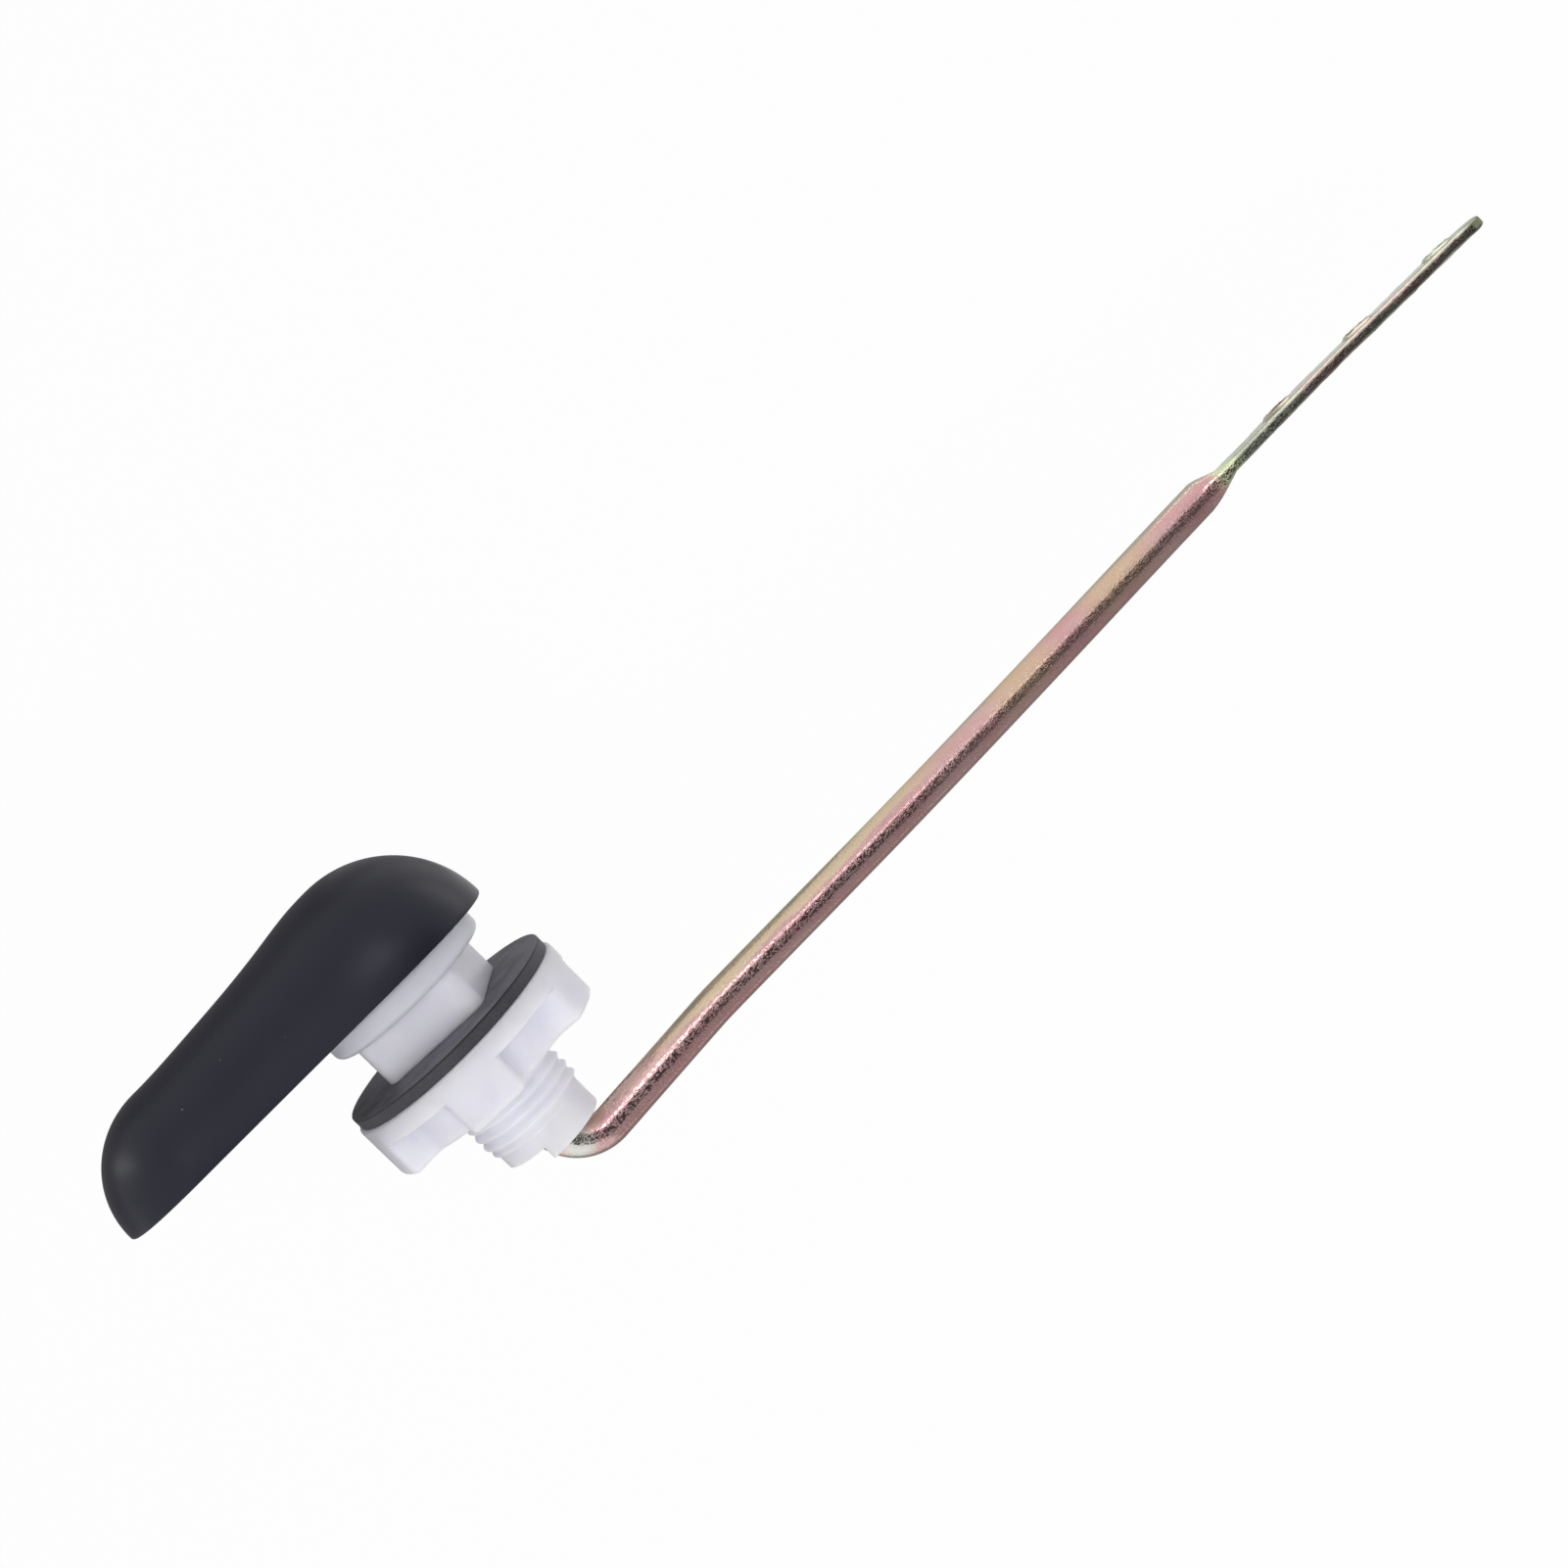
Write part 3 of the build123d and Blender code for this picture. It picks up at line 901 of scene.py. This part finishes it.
rodForm = {
    "radius": 3.0 * mm, "frontY": -4.75 * mm, "squareEnd": 4.2 * mm, "squareLength": 10.0 * mm,
    "bendRadius": 7.0 * mm, "bendY": 29.1 * mm, "slope": 2.7, "rootLength": 22.0 * mm,
    "kickRadius": 60.0 * mm, "swageX": 144.4 * mm, "swageLength": 6.4 * mm, "flatLength": 62.7 * mm,
    # slight bow of the arm: distance from the pivot, and how far it strays into the tank
    "bow": [(25 * mm, 0.0), (45 * mm, 0.10 * mm), (75 * mm, 0.31 * mm), (100 * mm, 0.17 * mm),
            (115 * mm, 0.0), (135 * mm, -0.26 * mm), (150 * mm, -0.40 * mm), (168 * mm, -0.60 * mm),
            (178 * mm, -0.62 * mm), (192 * mm, -0.36 * mm), (206 * mm, -0.20 * mm), (213.5 * mm, 0.0)],
    "flatHalfThick": 1.06 * mm, "flatHalfWide": 5.0 * mm, "flatTwist": 9.0, "flatLean": 0.8,
    "edgePower": 5.0, "endFlare": 0.10 * mm,
    "holeRadius": 2.0 * mm, "holePitch": 19.9 * mm, "holeEnd": 9.0 * mm, "holeCount": 3,
    "lipHeight": 0.42 * mm, "lipCrest": 2.45 * mm, "lipReach": 1.0 * mm,
    "bulge": 0.12 * mm, "bulgeReach": 5.0 * mm,
    "waver": 0.08 * mm, "waverScale": 420.0, "nick": 0.035 * mm, "nickScale": 1300.0, "seed": 5,
    "around": 96, "flatStep": 0.3 * mm, "sharpDegrees": 50.0,
    "steps": {"shank": 12, "bend": 40, "root": 12, "kick": 8, "arm": 60, "swage": 24, "tip": 16},
}


def rodStations():
    # middle line of the round bar: place and heading at each ring
    size = rodForm
    steps = size["steps"]
    place = Vector((0, size["frontY"], 0))
    heading = intoTank.copy()
    stations = [(place.copy(), heading.copy())]

    def straight(length, count):
        nonlocal place
        for _ in range(count):
            place = place + heading * (length / count)
            stations.append((place.copy(), heading.copy()))

    def arc(radius, degrees, count):
        nonlocal place, heading
        part = math.radians(degrees) / count
        for _ in range(count):
            turned = Matrix.Rotation(part, 3, leverZ) @ heading
            place = place + (heading + turned).normalized() * 2 * radius * math.sin(abs(part) / 2)
            heading = turned
            stations.append((place.copy(), heading.copy()))

    straight(size["bendY"] - size["frontY"], steps["shank"])
    arc(size["bendRadius"], 90 + size["slope"], steps["bend"])
    straight(size["rootLength"], steps["root"])
    arc(size["kickRadius"], -size["slope"], steps["kick"])
    straight(size["swageX"] + place.dot(leverX), steps["arm"])
    return stations


def layFlat(armEnd):
    # where the flat starts and how it lies, with its holes' distances along it
    size = rodForm
    lean = math.radians(size["flatLean"])
    lastHole = size["flatLength"] - size["holeEnd"]
    return {
        "start": armEnd - leverX * size["swageLength"],
        "along": -math.cos(lean) * leverX + math.sin(lean) * intoTank,
        "level": -math.cos(lean) * intoTank - math.sin(lean) * leverX,
        "holes": [lastHole - i * size["holePitch"] for i in range(size["holeCount"])],
        "tipStart": size["flatLength"] - size["flatHalfWide"],
    }


def flatAxes(flat, share):
    # the section's outward and sideways directions, a share of the way through the twist
    turn = math.radians(rodForm["flatTwist"]) * share
    out = math.cos(turn) * flat["level"] - math.sin(turn) * leverZ
    wide = math.cos(turn) * leverZ + math.sin(turn) * flat["level"]
    return out, wide


def lipRise(holes, reach, across, facing):
    # raised lip round each hole on the outward side, and a slight bulge on the other
    size = rodForm
    near = min(math.hypot(reach - hole, across) for hole in holes)
    if facing > 0:
        rise = size["lipHeight"] * (1 - smoothStep(0.0, size["lipReach"], abs(near - size["lipCrest"])))
    else:
        rise = size["bulge"] * (1 - smoothStep(size["holeRadius"], size["bulgeReach"], near))
    return rise * abs(facing)


def flatSection(flat, middle, reach, share, tip):
    # share goes from round bar to flat; tip goes from the straight sides to the very end
    size = rodForm
    out, wide = flatAxes(flat, share)
    power = 2 + (size["edgePower"] - 2) * share
    halfWide = size["radius"] + (size["flatHalfWide"] - size["radius"]) * share
    thick = size["radius"] + (size["flatHalfThick"] - size["radius"]) * share
    flareHalf = size["flatHalfWide"] / 2
    flare = smoothStep(flat["tipStart"] - flareHalf, flat["tipStart"] + flareHalf, reach)
    thick += size["endFlare"] * flare
    spots = []
    for turn in turnsRound(size["around"]):
        sideShare = abs(math.cos(turn)) ** (2 / power)
        planShare = math.sqrt(tip ** 2 + (1 - tip ** 2) * sideShare ** 2)
        across = math.copysign(halfWide * math.sqrt(1 - tip ** 2) * sideShare, math.cos(turn))
        rise = thick * max(0.0, 1 - planShare ** power) ** (1 / power)
        if share == 1.0:
            rise += lipRise(flat["holes"], reach, across, math.sin(turn))
        spot = middle + across * wide + math.copysign(rise, math.sin(turn)) * out
        rough = noise.noise_vector(spot * size["waverScale"]) * size["waver"]
        rough += noise.noise_vector(spot * size["nickScale"]) * size["nick"]
        spots.append(spot + rough * share * (1 - tip))
    return spots


def makeBar(stations, flat):
    size = rodForm
    noise.seed_set(size["seed"])
    turns = turnsRound(size["around"])
    bow = smoothLine(size["bow"])
    bowStart = size["bow"][0][0]
    form = bmesh.new()
    loops = []

    def bowed(spot):
        # the spot on the middle line, moved by the arm's bow
        reach = -spot.dot(leverX)
        return spot + intoTank * (bow(reach)[0] if reach > bowStart else 0.0)

    def addSection(place, reach, share, tip):
        loops.append(addLoop(form, flatSection(flat, bowed(place), reach, share, tip)))

    for place, heading in stations:
        side = leverZ.cross(heading)
        middle = bowed(place)
        ways = [math.cos(turn) * leverZ + math.sin(turn) * side for turn in turns]
        loops.append(addLoop(form, [middle + size["radius"] * way for way in ways]))
    armEnd = stations[-1][0]
    steps = size["steps"]["swage"]
    for i in range(1, steps):
        part = i / steps
        addSection(armEnd.lerp(flat["start"], part), 0.0, (part + smoothStep(0.0, 1.0, part)) / 2, 0.0)
    steps = round(flat["tipStart"] / size["flatStep"])
    for i in range(steps + 1):
        reach = flat["tipStart"] * i / steps
        addSection(flat["start"] + flat["along"] * reach, reach, 1.0, 0.0)
    steps = size["steps"]["tip"]
    for i in range(1, steps):
        tip = math.sin(math.pi / 2 * i / steps)
        reach = flat["tipStart"] + size["flatHalfWide"] * tip
        addSection(flat["start"] + flat["along"] * reach, reach, 1.0, tip)
    skinSolid(form, loops)
    return makeObject("rod_bar", form)


def makeRod():
    size = rodForm
    stations = rodStations()
    flat = layFlat(stations[-1][0])
    piece = makeBar(stations, flat)
    # square end that sits in the handle's hub
    wide = size["squareEnd"]
    half = wide / 2
    corner = Vector((0, size["frontY"] + half, 0)) - leverX * half - leverZ * half
    edges = (leverX * wide, leverZ * wide, -intoTank * (size["squareLength"] + half))
    combineBlock(piece, "UNION", corner, edges)
    # chain holes
    out, _ = flatAxes(flat, 1.0)
    drills = bmesh.new()
    for hole in flat["holes"]:
        base = flat["start"] + flat["along"] * hole - out * size["radius"]
        addDrum(drills, base, out, size["holeRadius"], 2 * size["radius"])
    combine(piece, drills, "DIFFERENCE")
    dressPiece(piece, "lever_rod", "lever", "plated_steel", size["sharpDegrees"])


makeRod()


# stage: floor, world, lamps and the cards that the object mirrors

stageSet = {
    "floorZ": -120 * mm, "floorSize": 8.0, "floorColour": (0.9, 0.9, 0.9), "floorWhite": 0.95,
    "ambient": 0.44, "ambientColour": (1.0, 0.995, 1.0), "worldWhite": 1.0,
    "lampAim": Vector((-0.03, 0.01, 0)), "floorCardGap": 2 * mm,
    "cardLine": Vector((0, 0.035, 0)), "cardRadius": 0.55, "cardStep": 3.0, "leastSteps": 4,
}
lamps = [
    {"name": "keyLamp", "from": Vector((-0.22, 0.04, 1.08)), "size": 0.8, "power": 6.0},
    {"name": "fillLamp", "from": Vector((-0.12, 0.85, 0.08)), "size": 0.6, "power": 1.5},
]
# sheets on the floor: grey under the handle and on the arm's far side, bright under the chain holes
floorCards = [
    {"name": "handleSheet", "low": (0.02, -0.4), "high": (1.5, 0.075), "glow": 0.25},
    {"name": "domeSheet", "low": (-0.05, -0.4), "high": (0.02, -0.01), "glow": 0.45},
    {"name": "lipSheet", "low": (-0.32, -0.15), "high": (-0.168, 0.012), "glow": 2.4},
    {"name": "armSheet", "low": (-0.6, 0.075), "high": (0.3, 0.9), "glow": 0.40},
]
# arcs of card round the rod's line: degrees from the lens towards +Y,
# the stretch along the arm in metres, and the brightness
arcCards = [
    {"name": "stripWide", "from": -31, "to": -13, "start": -0.06, "end": 0.05, "glow": 3.6},
    {"name": "stripCard", "from": -28, "to": -13, "start": 0.05, "end": 0.12, "glow": 3.5},
    {"name": "stripFade", "from": -24, "to": -13, "start": 0.12, "end": 0.20, "glow": 2.2},
    {"name": "stripEnd", "from": -22, "to": -13, "start": 0.20, "end": 0.28, "glow": 1.5},
    {"name": "mouthDark", "from": -8, "to": 30, "start": -0.055, "end": -0.03, "glow": 0.04},
    {"name": "darkCard", "from": -8, "to": 44, "start": -0.03, "end": 0.20, "glow": 0.08},
    {"name": "darkFade", "from": -8, "to": 44, "start": 0.20, "end": 0.38, "glow": 0.14},
    {"name": "dimCard", "from": 44, "to": 100, "start": -0.03, "end": 0.38, "glow": 0.40},
    {"name": "tipDarkCard", "from": -13, "to": 66, "start": 0.38, "end": 1.0, "glow": 0.09},
    {"name": "tipDimCard", "from": 66, "to": 100, "start": 0.38, "end": 1.0, "glow": 0.35},
    {"name": "bladeDark", "from": 4, "to": 44, "start": -0.16, "end": -0.055, "glow": 0.06},
    {"name": "bladeDim", "from": -50, "to": -8, "start": -0.22, "end": -0.06, "glow": 0.60},
    {"name": "noseCard", "from": -112, "to": -70, "start": -0.60, "end": -0.50, "glow": 5.5},
]


def showWhite(tree, plain, white, share, output):
    # the lens, gloss and glass see white; all other light meets the plain shader
    path = addNode(tree, "LightPath")
    seen = calc(tree, "MAXIMUM", path.outputs["Is Camera Ray"], path.outputs["Is Glossy Ray"])
    seen = calc(tree, "MAXIMUM", seen, path.outputs["Is Transmission Ray"])
    blend = addNode(tree, "MixShader")
    wire(tree, times(tree, seen, share), blend.inputs[0])
    wire(tree, plain.outputs[0], blend.inputs[1])
    wire(tree, white.outputs[0], blend.inputs[2])
    showShader(tree, blend, output)


def addSheet(name, points, faces):
    mesh = bpy.data.meshes.new(name)
    mesh.from_pydata(points, [], faces)
    sheet = bpy.data.objects.new(name, mesh)
    scene.collection.objects.link(sheet)
    material, tree = emptyMaterial(name)
    mesh.materials.append(material)
    return sheet, tree


def levelSheet(low, high, z):
    (left, near), (right, far) = low, high
    return [(left, near, z), (right, near, z), (right, far, z), (left, far, z)], [(0, 1, 2, 3)]


def makeFloor():
    half = stageSet["floorSize"] / 2
    _, tree = addSheet("floor", *levelSheet((-half, -half), (half, half), stageSet["floorZ"]))
    matte = addNode(tree, "BsdfDiffuse", {"Color": (*stageSet["floorColour"], 1.0)})
    white = addNode(tree, "Emission", {"Strength": 1.0})
    showWhite(tree, matte, white, stageSet["floorWhite"], "OutputMaterial")


def makeWorld():
    world = bpy.data.worlds.new("studio")
    scene.world = world
    world.use_nodes = True
    tree = world.node_tree
    tree.nodes.clear()
    ambient = {"Color": (*stageSet["ambientColour"], 1.0), "Strength": stageSet["ambient"]}
    soft = addNode(tree, "Background", ambient)
    white = addNode(tree, "Background", {"Color": (1, 1, 1, 1), "Strength": 1.0})
    showWhite(tree, soft, white, stageSet["worldWhite"], "OutputWorld")


def makeLamp(lamp):
    light = bpy.data.lights.new(lamp["name"], "AREA")
    light.shape = "DISK"
    light.size = lamp["size"]
    light.energy = lamp["power"]
    stand = bpy.data.objects.new(lamp["name"], light)
    scene.collection.objects.link(stand)
    stand.location = lamp["from"]
    stand.rotation_euler = (stageSet["lampAim"] - stand.location).to_track_quat("-Z", "Y").to_euler()
    stand.visible_camera = False
    stand.visible_glossy = False


def addCard(name, points, faces, glow):
    # a card that only reflections show
    sheet, tree = addSheet(name, points, faces)
    showShader(tree, addNode(tree, "Emission", {"Strength": glow}))
    for ray in ("camera", "diffuse", "shadow", "transmission", "volume_scatter"):
        setattr(sheet, "visible_" + ray, False)


def makeArcCard(card, toLens):
    up = (toLens - toLens.dot(leverX) * leverX).normalized()
    across = (intoTank - intoTank.dot(up) * up).normalized()
    spread = card["to"] - card["from"]
    steps = max(stageSet["leastSteps"], round(spread / stageSet["cardStep"]))
    points = []
    for i in range(steps + 1):
        turn = math.radians(card["from"] + spread * i / steps)
        way = math.cos(turn) * up + math.sin(turn) * across
        spot = stageSet["cardLine"] + stageSet["cardRadius"] * way
        points += [spot - leverX * card[end] for end in ("start", "end")]
    faces = [(2 * i, 2 * i + 1, 2 * i + 3, 2 * i + 2) for i in range(steps)]
    addCard(card["name"], points, faces, card["glow"])


def makeFloorCard(card):
    z = stageSet["floorZ"] + stageSet["floorCardGap"]
    addCard(card["name"], *levelSheet(card["low"], card["high"], z), card["glow"])


# camera at the photograph's viewing angle

cameraView = {
    "place": Vector((-108.52, -51.16, 334.00)) * mm, "forward": Vector((0.134989, 0.191698, -0.972126)),
    "top": Vector((-0.665336, -0.709484, -0.232295)), "clipStart": 0.01, "clipEnd": 50.0,
    "sensor": 36.0, "focalPixels": 2400.0, "framePixels": 1601.0,
}


def makeCamera():
    view = cameraView
    lens = bpy.data.cameras.new("camera")
    lens.sensor_width = view["sensor"]
    lens.lens = view["sensor"] * view["focalPixels"] / view["framePixels"]
    lens.clip_start = view["clipStart"]
    lens.clip_end = view["clipEnd"]
    camera = bpy.data.objects.new("camera", lens)
    scene.collection.objects.link(camera)
    back = -view["forward"].normalized()
    right = view["top"].cross(back).normalized()
    turn = Matrix((right, back.cross(right), back)).transposed()
    camera.matrix_world = Matrix.LocRotScale(view["place"], turn, None)
    scene.camera = camera
    return back


toLens = makeCamera()
makeFloor()
makeWorld()
for lamp in lamps:
    makeLamp(lamp)
for card in arcCards:
    makeArcCard(card, toLens)
for card in floorCards:
    makeFloorCard(card)
print("stage, lamps and camera made")
